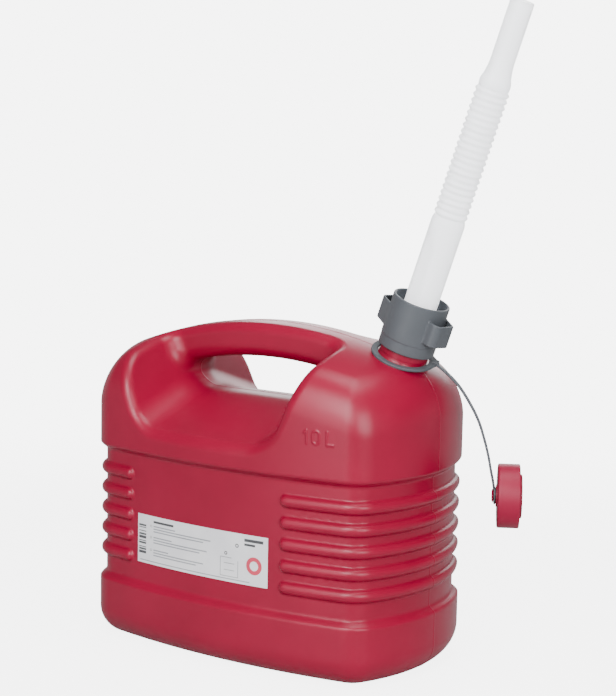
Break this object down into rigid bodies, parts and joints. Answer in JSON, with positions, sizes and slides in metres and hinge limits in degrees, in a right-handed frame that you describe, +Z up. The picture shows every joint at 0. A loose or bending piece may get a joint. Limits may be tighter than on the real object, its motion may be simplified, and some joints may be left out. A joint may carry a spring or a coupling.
{
  "type": "jerry can",
  "caption": "Plastic fuel can with a carry handle moulded in, a screw-on flexible pouring spout held by a locking collar, and a tethered screw cap.",
  "frame": {"origin": "centre of the tank's base, on the floor", "axes": "+X towards the neck and spout end, -Y the labelled long face, +Z up"},
  "size_m": [0.4036, 0.203, 0.5732],
  "materials": {
    "red_plastic": "satin blow-moulded polyethylene",
    "cap_plastic": "satin injection-moulded polyethylene",
    "grey_plastic": "satin injection-moulded polyethylene",
    "natural_plastic": "translucent natural polyethylene",
    "label_film": "printed film",
    "black_rubber": "moulded rubber"
  },
  "bodies": {
    "can": {"tank_base": "red_plastic", "tank_waist": "red_plastic", "tank_shoulders": "red_plastic", "tank_neck": "red_plastic", "front_label": "label_film"},
    "spout_seal": {"spout_gasket": "black_rubber"},
    "collar": {"locking_collar": "grey_plastic"},
    "spout": {"spout_base": "natural_plastic", "bellows_lower": "natural_plastic"},
    "spout_middle": {"bellows_middle": "natural_plastic"},
    "spout_end": {"bellows_upper": "natural_plastic", "spout_outlet": "natural_plastic"},
    "tether": {"tether_ring": "grey_plastic"},
    "strap": {"tether_strap": "grey_plastic"},
    "cap": {"screw_cap": "cap_plastic", "cap_gasket": "black_rubber"}
  },
  "joints": [
    {"name": "collar_lift", "type": "slide", "parent": "can", "child": "spout_seal", "axis": [0.3256, 0, 0.9455], "range_m": [0, 0.0135]},
    {"name": "collar_turn", "type": "hinge", "parent": "spout_seal", "child": "collar", "pos_m": [0.127, 0, 0.27324], "axis": [0.3256, 0, 0.9455], "range_deg": [0, 810]},
    {"name": "spout_swivel", "type": "hinge", "parent": "spout_seal", "child": "spout", "pos_m": [0.127, 0, 0.27324], "axis": [0.3256, 0, 0.9455], "continuous": true},
    {"name": "spout_bend", "type": "hinge", "parent": "spout", "child": "spout_middle", "pos_m": [0.1807, 0, 0.42921], "axis": [0, 1, 0], "range_deg": [-35, 35], "stiffness_Nm_per_rad": 0.4, "deforming": ["bellows_lower", "bellows_middle"]},
    {"name": "spout_end_bend", "type": "hinge", "parent": "spout_middle", "child": "spout_end", "pos_m": [0.1929, 0, 0.46462], "axis": [0, 1, 0], "range_deg": [-35, 35], "stiffness_Nm_per_rad": 0.4, "deforming": ["bellows_upper"]},
    {"name": "tether_swivel", "type": "hinge", "parent": "can", "child": "tether", "pos_m": [0.127, 0, 0.27324], "axis": [0.3256, -0.1479, 0.9339], "range_deg": [-45, 10]},
    {"name": "strap_flex", "type": "hinge", "parent": "tether", "child": "strap", "pos_m": [0.15137, 0.01379, 0.26624], "axis": [0.4924, -0.8704, 0], "range_deg": [0, 60], "deforming": ["tether_strap"]},
    {"name": "cap_spin", "type": "hinge", "parent": "strap", "child": "cap", "pos_m": [0.19785, 0.04008, 0.15374], "axis": [0.8704, 0.4924, 0], "continuous": true}
  ],
  "couplings": [
    {"joint": "collar_turn", "follows": "collar_lift", "rad_per_m": 1047.2},
    {"joint": "spout_end_bend", "follows": "spout_bend", "ratio": 1}
  ]
}
